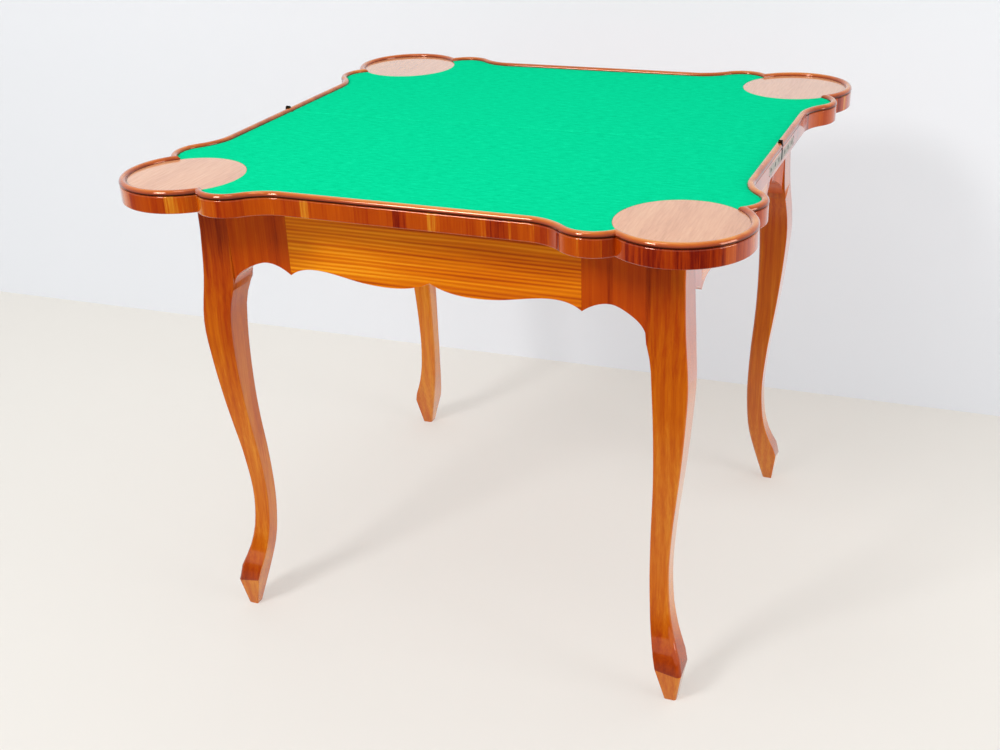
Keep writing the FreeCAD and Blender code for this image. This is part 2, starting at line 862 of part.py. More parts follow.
def batten_screws(gap=0.0):
    step = 2.0 * batten_half_length / batten_screw_count
    y = -face_y + apron_thickness + batten_width / 2.0
    screws = []
    for i in range(batten_screw_count):
        head = vec((i + 0.5) * step - batten_half_length, y, leaf_under - batten_depth)
        screws.append(countersunk(head, vec(0, 0, 1), batten_screw_radius,
                                  batten_screw_head_radius, batten_screw_head_depth,
                                  batten_screw_length, gap))
    return screws


def write_batten():
    # Batten glued behind the front apron, screwed up into the front leaf
    y = -face_y + apron_thickness
    batten = box(-batten_half_length, batten_half_length, y, y + batten_width,
                 leaf_under - batten_depth, leaf_under)
    for screw in batten_screws(screw_gap):
        batten = batten.cut(screw)
    save("front_batten", batten)
    save("front_batten_screws", *batten_screws())


write_leaf("front", -1)
write_leaf("rear", 1)
write_frame("front", -1, leaf_under)
write_frame("rear", 1, frame_top)
write_flaps()
write_batten()
save("leaf_hinge_pins", leaf_hinge_pin(1), leaf_hinge_pin(-1))
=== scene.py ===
import bpy
import json
import math
from mathutils import Matrix, Vector

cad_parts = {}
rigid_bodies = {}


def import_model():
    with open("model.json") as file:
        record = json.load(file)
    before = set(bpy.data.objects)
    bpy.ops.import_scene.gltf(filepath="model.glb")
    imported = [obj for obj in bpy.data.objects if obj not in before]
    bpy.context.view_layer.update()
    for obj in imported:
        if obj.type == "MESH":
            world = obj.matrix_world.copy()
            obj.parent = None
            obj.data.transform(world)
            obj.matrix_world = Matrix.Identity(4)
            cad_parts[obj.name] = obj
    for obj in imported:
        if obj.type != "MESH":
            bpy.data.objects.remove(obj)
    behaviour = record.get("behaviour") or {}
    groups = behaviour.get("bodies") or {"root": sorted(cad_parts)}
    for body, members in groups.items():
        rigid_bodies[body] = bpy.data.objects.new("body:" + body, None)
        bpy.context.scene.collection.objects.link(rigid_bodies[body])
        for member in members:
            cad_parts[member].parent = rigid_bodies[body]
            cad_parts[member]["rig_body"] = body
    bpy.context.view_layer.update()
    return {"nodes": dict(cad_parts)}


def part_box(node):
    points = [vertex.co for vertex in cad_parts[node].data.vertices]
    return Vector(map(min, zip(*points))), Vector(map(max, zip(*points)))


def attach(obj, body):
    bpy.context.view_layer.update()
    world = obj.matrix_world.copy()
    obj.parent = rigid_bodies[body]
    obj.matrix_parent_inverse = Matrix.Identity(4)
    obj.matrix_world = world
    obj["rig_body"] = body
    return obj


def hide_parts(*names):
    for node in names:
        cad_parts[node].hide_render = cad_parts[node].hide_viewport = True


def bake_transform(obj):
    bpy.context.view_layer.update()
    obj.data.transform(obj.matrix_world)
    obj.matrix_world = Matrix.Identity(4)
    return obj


# Folding game table: French-polished fruitwood, green baize, veneered candle discs.
# Metres, in the frame's own axes: X along the fold, -Y to the front, +Z up.

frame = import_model()
nodes = frame["nodes"]
mm = 0.001
weld = 0.01 * mm  # closer than this, corners are one
squareOn = 0.9  # a normal's share along an axis from which a face counts as facing it
smoothUpTo = math.radians(32)
print("frame loaded:", len(nodes), "nodes")

# What the top, its rim and its edge share
top = {
    "side": 402 * mm,  # inner line of the rim at the middle of a side
    "straight": 176 * mm,
    "earPlace": 262 * mm,
    "earSwell": 34 * mm,
    "earRadius": 41 * mm,
    "discPlace": 360 * mm,
    "discRadius": 84 * mm,
    "rimWidth": 10.5 * mm,
    "foldGap": 0.15 * mm,
    "joinWithin": 0.4 * mm,
    "hollowSteps": 14,
    "earSteps": 26,
    "cornerSteps": 64,
    "sweptPast": math.radians(4),  # beyond a mitre, then cut back to it
}


# Camera, first, at the photograph's own place

photoCamera = {
    "place": (0.7376, -1.8045, 1.2575),
    "yaw": -0.4089,
    "pitch": 0.4487,
    "roll": 0.0401,
    "sensor": 36.0,
    "focalShare": 1.2743,  # focal length over the width of the picture
}


def addCamera(settings):
    yaw, pitch, roll = settings["yaw"], settings["pitch"], settings["roll"]
    forward = Vector((
        math.sin(yaw) * math.cos(pitch),
        math.cos(yaw) * math.cos(pitch),
        -math.sin(pitch),
    ))
    level = Vector((math.cos(yaw), -math.sin(yaw), 0))
    down = forward.cross(level)
    right = math.cos(roll) * level + math.sin(roll) * down
    up = math.sin(roll) * level - math.cos(roll) * down
    data = bpy.data.cameras.new("photoCamera")
    data.sensor_width = settings["sensor"]
    data.lens = settings["sensor"] * settings["focalShare"]
    camera = bpy.data.objects.new("photoCamera", data)
    bpy.context.scene.collection.objects.link(camera)
    turned = Matrix((right, up, -forward)).transposed().to_4x4()
    camera.matrix_world = Matrix.Translation(settings["place"]) @ turned
    bpy.context.scene.camera = camera


addCamera(photoCamera)
print("camera placed")


# Handling of objects

def deselectAll():
    bpy.ops.object.select_all(action="DESELECT")


def takeUp(piece):
    deselectAll()
    piece.select_set(True)
    bpy.context.view_layer.objects.active = piece


def copyOf(piece, name, matrix=None):
    # A copy with its own mesh, mirrored or moved inside its mesh
    twin = bpy.data.objects.new(name, piece.data.copy())
    bpy.context.scene.collection.objects.link(twin)
    if matrix is not None:
        twin.data.transform(matrix)
        if matrix.determinant() < 0:
            twin.data.flip_normals()
    return twin


def joinUp(pieces, name):
    deselectAll()
    for piece in pieces:
        piece.select_set(True)
    bpy.context.view_layer.objects.active = pieces[0]
    bpy.ops.object.join()
    pieces[0].name = name
    return pieces[0]


def applyAll(piece):
    takeUp(piece)
    for modifier in list(piece.modifiers):
        bpy.ops.object.modifier_apply(modifier=modifier.name)


def smooth(piece):
    takeUp(piece)
    bpy.ops.object.shade_smooth_by_angle(angle=smoothUpTo)


def flattenShading(piece):
    # Shading that follows the large faces, so that a flat face mirrors as one
    takeUp(piece)
    weighted = piece.modifiers.new("flatShading", "WEIGHTED_NORMAL")
    weighted.keep_sharp = True
    applyAll(piece)


def fitOut(piece, material, replaced):
    # Material, body, slot and the nodes that the piece stands for
    flattenShading(piece)
    piece.data.materials.clear()
    piece.data.materials.append(material)
    first = nodes[replaced[0]]
    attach(piece, first["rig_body"])
    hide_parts(*replaced)


mirrorX = Matrix.Scale(-1, 4, (1, 0, 0))
mirrorY = Matrix.Scale(-1, 4, (0, 1, 0))
mirrorDiagonal = Matrix(((0, -1, 0, 0), (-1, 0, 0, 0), (0, 0, 1, 0), (0, 0, 0, 1)))


# Materials

def hexColour(code):
    # sRGB hex to the linear colour that a shader takes
    parts = [int(code[i:i + 2], 16) / 255 for i in (1, 3, 5)]
    linear = [c / 12.92 if c <= 0.04045 else ((c + 0.055) / 1.055) ** 2.4 for c in parts]
    return (*linear, 1)


def addNode(tree, kind, settings=None, links=None):
    # A node, its settings by name or socket number, and what is linked to it. The stops
    # of a colour ramp are places and hex colours.
    node = tree.nodes.new(kind)
    for key, value in (settings or {}).items():
        if key == "stops":
            elements = node.color_ramp.elements
            while len(elements) < len(value):
                elements.new(0.5)
            for element, (place, code) in zip(elements, value):
                element.position = place
                element.color = hexColour(code)
        elif isinstance(key, int) or key in node.inputs:
            node.inputs[key].default_value = value
        else:
            setattr(node, key, value)
    for key, socket in (links or {}).items():
        tree.links.new(socket, node.inputs[key])
    return node


def newMaterial(name):
    material = bpy.data.materials.new(name)
    material.use_nodes = True
    material.node_tree.nodes.clear()
    return material, material.node_tree


def finishMaterial(tree, settings, links):
    shader = addNode(tree, "ShaderNodeBsdfPrincipled", settings, links)
    addNode(tree, "ShaderNodeOutputMaterial", links={"Surface": shader.outputs[0]})


grainTurns = {"X": (0, 0, 0), "Y": (0, 0, math.radians(90)), "Z": (0, math.radians(90), 0)}

woodFigure = {
    "lineStretch": (0.08, 1, 1),  # growth lines and clouds run long along the grain
    "fibreStretch": (0.03, 1, 1),
    "fibre": 2.4 * mm,  # coarser than real fibres, so that they show
    "cloud": 45 * mm,
    "thinShare": 0.55,  # how far the growth lines are broken into thin ones
    "waves": 20,  # radians that a wave texture turns over a metre, at a scale of 1
    "dropBetween": (0.3, 0.7),  # metres over the floor
    "pores": 0.06,
    "poreDepth": 0.2 * mm,
}
polish = {  # amber shellac rubbed to a gloss, which tints what it mirrors head-on
    "IOR": 1.6,
    "Roughness": 0.12,
    "Specular Tint": hexColour("#FF9440"),
    "Coat Weight": 0.8,
    "Coat Roughness": 0.06,
}


def polishedWood(name, stops, grain, lines, drop=0, shadeAndOldPolish=None, toe=None):
    # Solid wood: growth lines drawn out along the grain, fine fibres and clouds.
    # It can darken up the piece, towards the bottom of a moulding with painted shade and old
    # polish in its quirk, and on the faces of a toe that are marked as stained.
    material, tree = newMaterial(name)
    place = addNode(tree, "ShaderNodeTexCoord")
    along = addNode(tree, "ShaderNodeMapping", {
        "Rotation": grainTurns[grain]}, {"Vector": place.outputs["Object"]})
    drawn = addNode(tree, "ShaderNodeMapping", {
        "Scale": woodFigure["lineStretch"]}, {"Vector": along.outputs[0]})
    fine = addNode(tree, "ShaderNodeMapping", {
        "Scale": woodFigure["fibreStretch"]}, {"Vector": along.outputs[0]})
    growth = addNode(tree, "ShaderNodeTexWave", {
        "bands_direction": "Z",
        "Scale": 2 * math.pi / (woodFigure["waves"] * lines["gap"] * mm),
        "Distortion": lines["wander"],
        "Detail": 4,
        "Detail Scale": 0.16,
        "Detail Roughness": 0.62,
    }, {"Vector": drawn.outputs[0]})
    breaks = addNode(tree, "ShaderNodeTexNoise", {
        "Scale": 1 / (2 * lines["gap"] * mm), "Detail": 2}, {"Vector": fine.outputs[0]})
    broken = addNode(tree, "ShaderNodeMapRange", {
        "From Min": 0.35, "From Max": 0.65}, {0: breaks.outputs["Fac"]})
    thin = addNode(tree, "ShaderNodeMix", {0: woodFigure["thinShare"]}, {
        2: growth.outputs["Fac"], 3: broken.outputs[0]})
    fibres = addNode(tree, "ShaderNodeTexNoise", {
        "Scale": 1 / woodFigure["fibre"], "Detail": 3, "Roughness": 0.65,
    }, {"Vector": fine.outputs[0]})
    clouds = addNode(tree, "ShaderNodeTexNoise", {
        "Scale": 1 / woodFigure["cloud"], "Detail": 4, "Roughness": 0.6,
    }, {"Vector": drawn.outputs[0]})
    fibred = addNode(tree, "ShaderNodeMix", {0: lines["fibreShare"]}, {
        2: clouds.outputs["Fac"], 3: fibres.outputs["Fac"]})
    lined = addNode(tree, "ShaderNodeMix", {0: lines["share"]}, {
        2: fibred.outputs[0], 3: thin.outputs[0]})
    parts = addNode(tree, "ShaderNodeSeparateXYZ", links={0: place.outputs["Object"]})
    low, high = woodFigure["dropBetween"]
    below = addNode(tree, "ShaderNodeMapRange", {
        "From Min": low, "From Max": high, "To Min": 1, "To Max": 0}, {0: parts.outputs["Z"]})
    figure = addNode(tree, "ShaderNodeMix", {0: drop}, {
        2: lined.outputs[0], 3: below.outputs[0]}).outputs[0]
    # Painted shade: darker towards the bottom of the moulding, where the bead turns down and
    # away from the light, with old polish in the quirk as well
    if shadeAndOldPolish:
        undarkened = addNode(tree, "ShaderNodeMapRange", {
            "From Min": shadeAndOldPolish[0], "From Max": shadeAndOldPolish[1]}, {0: parts.outputs["Z"]})
        figure = addNode(tree, "ShaderNodeMath", {"operation": "MULTIPLY"}, {
            0: figure, 1: undarkened.outputs[0]}).outputs[0]
    if toe:
        above = addNode(tree, "ShaderNodeMapRange", {
            "From Min": toe["from"], "From Max": toe["to"], "To Min": toe["dark"], "To Max": 1,
        }, {0: parts.outputs["Z"]})
        marked = addNode(tree, "ShaderNodeAttribute", {"attribute_name": toe["attribute"]})
        stain = addNode(tree, "ShaderNodeMix", {2: 1}, {
            0: marked.outputs["Fac"], 3: above.outputs[0]})
        figure = addNode(tree, "ShaderNodeMath", {"operation": "MULTIPLY"}, {
            0: figure, 1: stain.outputs[0]}).outputs[0]
    colour = addNode(tree, "ShaderNodeValToRGB", {"stops": stops}, {"Fac": figure})
    bump = addNode(tree, "ShaderNodeBump", {
        "Strength": woodFigure["pores"], "Distance": woodFigure["poreDepth"]}, {
        "Height": fibres.outputs["Fac"]})
    finishMaterial(tree, polish, {
        "Base Color": colour.outputs["Color"], "Normal": bump.outputs[0]})
    return material


bandFigure = {
    "strip": 32 * mm,  # width of one strip of veneer
    "stripShare": 0.3,
    "stretch": (1, 1, 0.04),
    "thread": 2.6 * mm,
    "threadShare": 0.45,
    "cloud": 24 * mm,
}


def crossbandVeneer(name, stops):
    # Strips of veneer side by side, grain upright, each strip of its own tone
    material, tree = newMaterial(name)
    place = addNode(tree, "ShaderNodeTexCoord")
    upright = addNode(tree, "ShaderNodeMapping", {
        "Scale": bandFigure["stretch"]}, {"Vector": place.outputs["Object"]})
    strips = addNode(tree, "ShaderNodeTexVoronoi", {
        "voronoi_dimensions": "2D", "Scale": 1 / bandFigure["strip"], "Randomness": 1,
    }, {"Vector": place.outputs["Object"]})
    stripTone = addNode(tree, "ShaderNodeSeparateColor", links={0: strips.outputs["Color"]})
    threads = addNode(tree, "ShaderNodeTexNoise", {
        "Scale": 1 / bandFigure["thread"], "Detail": 4, "Roughness": 0.65,
    }, {"Vector": upright.outputs[0]})
    clouds = addNode(tree, "ShaderNodeTexNoise", {
        "Scale": 1 / bandFigure["cloud"], "Detail": 3, "Roughness": 0.6,
    }, {"Vector": upright.outputs[0]})
    threaded = addNode(tree, "ShaderNodeMix", {0: bandFigure["threadShare"]}, {
        2: clouds.outputs["Fac"], 3: threads.outputs["Fac"]})
    figure = addNode(tree, "ShaderNodeMix", {0: bandFigure["stripShare"]}, {
        2: threaded.outputs[0], 3: stripTone.outputs[0]})
    colour = addNode(tree, "ShaderNodeValToRGB", {"stops": stops}, {"Fac": figure.outputs[0]})
    finishMaterial(tree, polish, {"Base Color": colour.outputs["Color"]})
    return material


discFigure = {
    "turn": math.radians(-92),  # from the fold to the grain
    "stretch": (0.09, 1, 1),
    "pore": 3 * mm,
    "poreShare": 0.6,
    "cloud": 40 * mm,
}
discPolish = {"IOR": 1.5, "Roughness": 0.12, "Coat Weight": 0.85, "Coat Roughness": 0.06}


def discVeneer(name, stops):
    # Veneer pale partly from its own tone and partly from painted glare, short fine pores along
    # its grain, which lies nearly across the fold
    material, tree = newMaterial(name)
    place = addNode(tree, "ShaderNodeTexCoord")
    turned = addNode(tree, "ShaderNodeMapping", {
        "Rotation": (0, 0, discFigure["turn"])}, {"Vector": place.outputs["Object"]})
    along = addNode(tree, "ShaderNodeMapping", {
        "Scale": discFigure["stretch"]}, {"Vector": turned.outputs[0]})
    pores = addNode(tree, "ShaderNodeTexNoise", {
        "Scale": 1 / discFigure["pore"], "Detail": 3, "Roughness": 0.6,
    }, {"Vector": along.outputs[0]})
    clouds = addNode(tree, "ShaderNodeTexNoise", {
        "Scale": 1 / discFigure["cloud"], "Detail": 2}, {"Vector": along.outputs[0]})
    figure = addNode(tree, "ShaderNodeMix", {0: discFigure["poreShare"]}, {
        2: clouds.outputs["Fac"], 3: pores.outputs["Fac"]})
    colour = addNode(tree, "ShaderNodeValToRGB", {"stops": stops}, {"Fac": figure.outputs[0]})
    finishMaterial(tree, discPolish, {"Base Color": colour.outputs["Color"]})
    return material


napFigure = {
    "stretch": (0.3, 1, 1),
    "streak": 5 * mm,
    "fluff": 1.4 * mm,  # tufts of nap, coarser than real ones so that they show
    "fluffShare": 0.4,
    "bump": 0.5,
    "bumpHeight": 0.5 * mm,
}


def napCloth(name, stops):
    # Wool baize, raised nap brushed along the fold: quite matt, with short soft streaks
    material, tree = newMaterial(name)
    place = addNode(tree, "ShaderNodeTexCoord")
    along = addNode(tree, "ShaderNodeMapping", {
        "Scale": napFigure["stretch"]}, {"Vector": place.outputs["Object"]})
    streaks = addNode(tree, "ShaderNodeTexNoise", {
        "Scale": 1 / napFigure["streak"], "Detail": 4, "Roughness": 0.7,
    }, {"Vector": along.outputs[0]})
    fluff = addNode(tree, "ShaderNodeTexNoise", {
        "Scale": 1 / napFigure["fluff"], "Detail": 2}, {"Vector": place.outputs["Object"]})
    figure = addNode(tree, "ShaderNodeMix", {0: napFigure["fluffShare"]}, {
        2: streaks.outputs["Fac"], 3: fluff.outputs["Fac"]})
    colour = addNode(tree, "ShaderNodeValToRGB", {"stops": stops}, {"Fac": figure.outputs[0]})
    bump = addNode(tree, "ShaderNodeBump", {
        "Strength": napFigure["bump"], "Distance": napFigure["bumpHeight"]}, {
        "Height": figure.outputs[0]})
    finishMaterial(tree, {"Roughness": 1, "Specular IOR Level": 0}, {
        "Base Color": colour.outputs["Color"], "Normal": bump.outputs[0]})
    return material


metalMottle = 4 * mm


def wornMetal(name, stops, roughness, fold=None):
    # Rubbed metal: a mottled surface, dark with old oil where it turns at the fold
    material, tree = newMaterial(name)
    place = addNode(tree, "ShaderNodeTexCoord")
    mottle = addNode(tree, "ShaderNodeTexNoise", {
        "Scale": 1 / metalMottle, "Detail": 5, "Roughness": 0.65,
    }, {"Vector": place.outputs["Object"]})
    figure = mottle.outputs["Fac"]
    if fold:
        parts = addNode(tree, "ShaderNodeSeparateXYZ", links={0: place.outputs["Object"]})
        away = addNode(tree, "ShaderNodeMath", {"operation": "ABSOLUTE"}, {
            0: parts.outputs["Y"]})
        undarkened = addNode(tree, "ShaderNodeMapRange", {
            "From Min": fold[0], "From Max": fold[1]}, {0: away.outputs[0]})
        figure = addNode(tree, "ShaderNodeMath", {"operation": "MULTIPLY"}, {
            0: figure, 1: undarkened.outputs[0]}).outputs[0]
    colour = addNode(tree, "ShaderNodeValToRGB", {"stops": stops}, {"Fac": figure})
    finishMaterial(tree, {"Roughness": roughness, "Metallic": 1}, {
        "Base Color": colour.outputs["Color"]})
    return material


# Growth lines: the gap between them in millimetres, how far they wander, and how much
# they and the fibres show
boldLines = {"gap": 6, "wander": 12, "share": 0.5, "fibreShare": 0.4}
quietLines = {"gap": 13, "wander": 14, "share": 0.15, "fibreShare": 0.4}
mouldingLines = {"gap": 13, "wander": 14, "share": 0.15, "fibreShare": 0.2}
legDrop = 0.22  # how much darker the legs are towards the top
toeStain = {  # heights over the floor, and the share of the figure that is left
    "attribute": "stainedToe", "from": 45 * mm, "to": 135 * mm, "dark": 0.5, "looksOut": 0.3,
}
# Heights over which the rim darkens towards its bottom: painted shade on the bead's lower side,
# and old dark polish in the quirk
rimShadeAndOldPolish = (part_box("front_leaf_rim")[0].z + 1 * mm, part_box("front_leaf_rim")[1].z)
hingeFold = (4 * mm, 6.5 * mm)  # from the fold: dark up to the first, clean from the second

boardStops = ((0.24, "#A63E00"), (0.4, "#CC6000"), (0.58, "#E07C00"), (0.78, "#F6A018"))
blockStops = ((0.3, "#842200"), (0.42, "#AC3C00"), (0.56, "#B84800"), (0.72, "#CC6004"))
legStops = ((0.26, "#6E1200"), (0.4, "#A43A00"), (0.56, "#C05E02"), (0.74, "#D88820"))
rimStops = ((0.06, "#3A0800"), (0.24, "#8E3000"), (0.44, "#BE5A08"), (0.7, "#E49C48"))
beechStops = ((0.2, "#8A5A2C"), (0.45, "#A9763F"), (0.6, "#BA8850"), (0.8, "#CC9E68"))
bandStops = (
    (0.34, "#6E0C00"), (0.4, "#982C00"), (0.5, "#AA4000"), (0.6, "#B64C00"), (0.68, "#CC801C"))
# Pale stops: partly the veneer's own pale tone, partly painted glare, the polish's sheen put
# into the colour
discToneAndGlareStops = ((0.3, "#CA8452"), (0.46, "#D99565"), (0.6, "#E1A171"), (0.78, "#EBB387"))
baizeStops = ((0.3, "#04B880"), (0.46, "#06CA8E"), (0.56, "#0AD296"), (0.75, "#1CE0A6"))
brassStops = ((0.3, "#84745A"), (0.5, "#B0A286"), (0.7, "#C8BCA4"))
plateStops = ((0.12, "#1E120A"), (0.34, "#9A8E7C"), (0.5, "#C6BEB0"), (0.7, "#DCD6CC"))
steelStops = ((0.3, "#241E1A"), (0.5, "#4A4038"), (0.7, "#6E6258"))

materials = {
    # Fruitwood boards, planed and French-polished: bright, with bold lines along them
    "apron": polishedWood("figuredFruitwoodAlongX", boardStops, "X", boldLines),
    "flap": polishedWood("figuredFruitwoodAlongY", boardStops, "Y", boldLines),
    # Quieter fruitwood stood on end: the blocks darker, the legs paler down to the toe
    "block": polishedWood("darkFruitwoodUpright", blockStops, "Z", quietLines),
    "leg": polishedWood(
        "fruitwoodUpright", legStops, "Z", quietLines, drop=legDrop, toe=toeStain),
    # Worked with a moulding plane: a glossy bead over a quirk, darker towards the bottom with
    # painted shade on the bead's lower side and old dark polish in the quirk
    "rim": polishedWood("mouldedFruitwood", rimStops, "X", mouldingLines, shadeAndOldPolish=rimShadeAndOldPolish),
    "under": polishedWood("plainFruitwoodAlongX", blockStops, "X", quietLines),
    "carcass": polishedWood("plainBeechAlongX", beechStops, "X", quietLines),  # hidden inside
    "band": crossbandVeneer("crossbandedFruitwood", bandStops),
    "disc": discVeneer("paleVeneerAndPaintedGlareAcrossTheFold", discToneAndGlareStops),
    "baize": napCloth("emeraldBaize", baizeStops),
    # Brass rubbed by hand, the leaf hinges thinly plated, and screws gone dark with age
    "brass": wornMetal("rubbedBrass", brassStops, 0.4),
    "hinge": wornMetal("palePlatedBrass", plateStops, 0.42, fold=hingeFold),
    "steel": wornMetal("darkenedSteel", steelStops, 0.45),
}
print("materials made:", len(materials))


# Rim and crossbanded edge, swept round the front leaf and mirrored for the rear one

def outlineCentres():
    # Centres and angles of the arcs that the inner line of the rim is made of
    turn = 2 * math.atan(top["earSwell"] / (top["earPlace"] - top["straight"]))
    reach = (top["earPlace"] - top["straight"]) / math.sin(turn)
    hollow = Vector((top["side"] + reach - top["earRadius"], -top["straight"], 0))
    ear = Vector((hollow.x - reach * math.cos(turn), hollow.y - reach * math.sin(turn), 0))
    disc = Vector((top["discPlace"], -top["discPlace"], 0))
    return turn, hollow, ear, disc


def notchAt(offset):
    # Where the ear and the round corner meet, at an offset from the inner line
    ear, disc = outlineCentres()[2:]
    earReach = top["earRadius"] + offset
    discReach = top["discRadius"] + offset
    gap = ear - disc
    along = (discReach ** 2 - earReach ** 2 + gap.length ** 2) / (2 * gap.length)
    across = math.sqrt(discReach ** 2 - along ** 2)
    unit = gap.normalized()
    return disc + along * unit + across * Vector((unit.y, -unit.x, 0))


def addSection(name, profile, placeAt):
    # A ring of edges shaped to the profile: offsets outwards and heights
    bpy.ops.mesh.primitive_circle_add(vertices=len(profile), radius=top["rimWidth"])
    section = bpy.context.active_object
    section.name = name
    for vertex, (offset, height) in zip(section.data.vertices, profile):
        vertex.co = placeAt(offset, height)
    return section


def spinOn(centre, radians, steps):
    # The selected ring swept about an upright axis, positive anticlockwise from above
    bpy.ops.mesh.spin(steps=steps, angle=-radians, center=centre, axis=(0, 0, 1))


def cutAtMitre(place, normal):
    bpy.ops.mesh.select_all(action="SELECT")
    bpy.ops.mesh.bisect(plane_co=place, plane_no=normal, clear_outer=True)


def sweepLeaf(name, profile):
    turn, hollow, ear, disc = outlineCentres()
    inner, outer = notchAt(0), notchAt(top["rimWidth"])
    mitre = (outer - inner).normalized()
    past = top["sweptPast"]
    deselectAll()
    run = addSection(name, profile, lambda offset, height: (
        top["side"] + offset, -top["foldGap"], height))
    bpy.ops.object.mode_set(mode="EDIT")
    bpy.ops.mesh.select_all(action="SELECT")
    bpy.ops.mesh.extrude_edges_move(
        TRANSFORM_OT_translate={"value": (0, top["foldGap"] - top["straight"], 0)})
    spinOn(hollow, turn, top["hollowSteps"])
    toNotch = math.atan2(inner.y - ear.y, inner.x - ear.x) - past
    spinOn(ear, toNotch - turn, top["earSteps"])
    cutAtMitre(inner, (mitre.y, -mitre.x, 0))
    bpy.ops.object.mode_set(mode="OBJECT")
    first = math.atan2(inner.y - disc.y, inner.x - disc.x) + past
    deselectAll()
    corner = addSection(name + "Corner", profile, lambda offset, height: (
        disc.x + (top["discRadius"] + offset) * math.cos(first),
        disc.y + (top["discRadius"] + offset) * math.sin(first), height))
    bpy.ops.object.mode_set(mode="EDIT")
    bpy.ops.mesh.select_all(action="SELECT")
    spinOn(disc, -math.pi / 2 - 2 * first, top["cornerSteps"])
    cutAtMitre(inner, (-mitre.y, mitre.x, 0))
    flipped = mirrorDiagonal @ inner
    cutAtMitre(flipped, mirrorDiagonal @ Vector((-mitre.y, mitre.x, 0)))
    bpy.ops.object.mode_set(mode="OBJECT")
    front = copyOf(run, name + "Front", mirrorDiagonal)
    half = joinUp([run, front, corner], name)
    whole = joinUp([half, copyOf(half, name + "Left", mirrorX)], name)
    takeUp(whole)
    bpy.ops.object.mode_set(mode="EDIT")
    bpy.ops.mesh.select_all(action="SELECT")
    bpy.ops.mesh.remove_doubles(threshold=top["joinWithin"])
    bpy.ops.mesh.select_all(action="SELECT")
    bpy.ops.mesh.fill_holes(sides=0)
    bpy.ops.mesh.select_all(action="SELECT")
    bpy.ops.mesh.normals_make_consistent(inside=False)
    bpy.ops.object.mode_set(mode="OBJECT")
    return whole


def cutRoom(piece, low, high):
    # A box-shaped room cut out of a piece
    deselectAll()
    middle = [(a + b) / 2 for a, b in zip(low, high)]
    bpy.ops.mesh.primitive_cube_add(size=1, location=middle)
    room = bpy.context.active_object
    room.scale = [b - a for a, b in zip(low, high)]
    bpy.ops.object.transform_apply(location=True, rotation=True, scale=True)
    cut = piece.modifiers.new("room", "BOOLEAN")
    cut.object = room
    cut.operation = "DIFFERENCE"
    cut.solver = "EXACT"
    applyAll(piece)
    bpy.data.objects.remove(room)


rim = {"beadSteps": 7, "shoulder": 0.6 * mm, "quirkHeight": 1.8 * mm, "quirkDepth": 2.7 * mm}
band = {"thickness": 3 * mm, "inset": 0.5 * mm, "round": 2 * mm, "roundSteps": 3}
hingeRoom = {
    "gap": 0.1 * mm, "plateHeight": 13 * mm, "plateThickness": 3 * mm,
    "knuckleGap": 0.6 * mm, "knuckleHalf": 4.6 * mm,
}


def arcPoints(centre, radii, start, end, steps):
    # Points on part of an ellipse, in offset and height
    points = []
    for i in range(steps + 1):
        angle = math.radians(start + (end - start) * i / steps)
        points.append((
            centre[0] + radii[0] * math.cos(angle), centre[1] + radii[1] * math.sin(angle)))
    return points


def rimProfile():
    # A bead over a quirk, standing proud of the cloth on its inner side
    low, high = [corner.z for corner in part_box("front_leaf_rim")]
    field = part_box("front_leaf_baize")[1].z
    middle = top["rimWidth"] / 2
    lip = low + rim["quirkHeight"]
    inner = (middle, high - field - rim["shoulder"])
    outer = (middle, high - lip - rim["shoulder"])
    points = [(0, low)]
    points += arcPoints((middle, high - inner[1]), inner, 180, 90, rim["beadSteps"])
    points += arcPoints((middle, high - outer[1]), outer, 90, 0, rim["beadSteps"])[1:]
    quirk = top["rimWidth"] - rim["quirkDepth"]
    return points + [(top["rimWidth"], lip), (quirk, lip), (quirk, low)]


def bandProfile():
    # A flat edge with its upper and lower arrises rounded
    low, high = [corner.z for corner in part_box("front_leaf_crossband")]
    outer = top["rimWidth"] - band["inset"]
    radii = (band["round"], band["round"])
    inner = outer - band["thickness"]
    points = [(inner, low), (inner, high)]
    points += arcPoints((outer - radii[0], high - radii[1]), radii, 90, 0, band["roundSteps"])
    points += arcPoints((outer - radii[0], low + radii[1]), radii, 0, -90, band["roundSteps"])
    return points


def cutHingeRooms(piece):
    # Room for the plates let into the edge, and for the knuckles at the fold
    low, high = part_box("front_right_leaf_hinge_plate")
    past, gap, thickness = top["rimWidth"], hingeRoom["gap"], hingeRoom["plateThickness"]
    plateTop = low.z + hingeRoom["plateHeight"]
    rooms = (
        (high.x - 2 * thickness - hingeRoom["knuckleGap"], -hingeRoom["knuckleHalf"],
         high.z + past),
        (high.x - thickness - gap, low.y - gap, plateTop + gap),
    )
    for inner, reach, ceiling in rooms:
        for side in (1, -1):
            xs = sorted((side * inner, side * (high.x + past)))
            cutRoom(piece, (xs[0], reach, low.z - gap), (xs[1], past, ceiling))


def makeMouldings():
    kinds = (("rim", "rim", rimProfile()), ("crossband", "band", bandProfile()))
    for kind, finish, profile in kinds:
        front = sweepLeaf("front" + kind.capitalize(), profile)
        cutHingeRooms(front)
        rear = copyOf(front, "rear" + kind.capitalize(), mirrorY)
        for piece, end in ((front, "front"), (rear, "rear")):
            smooth(piece)
            fitOut(piece, materials[finish], [end + "_leaf_" + kind])


makeMouldings()
print("rims and crossbanded edges made")


# Candle discs

candleDisc = {"edges": 160, "round": 0.7 * mm, "roundSteps": 2}


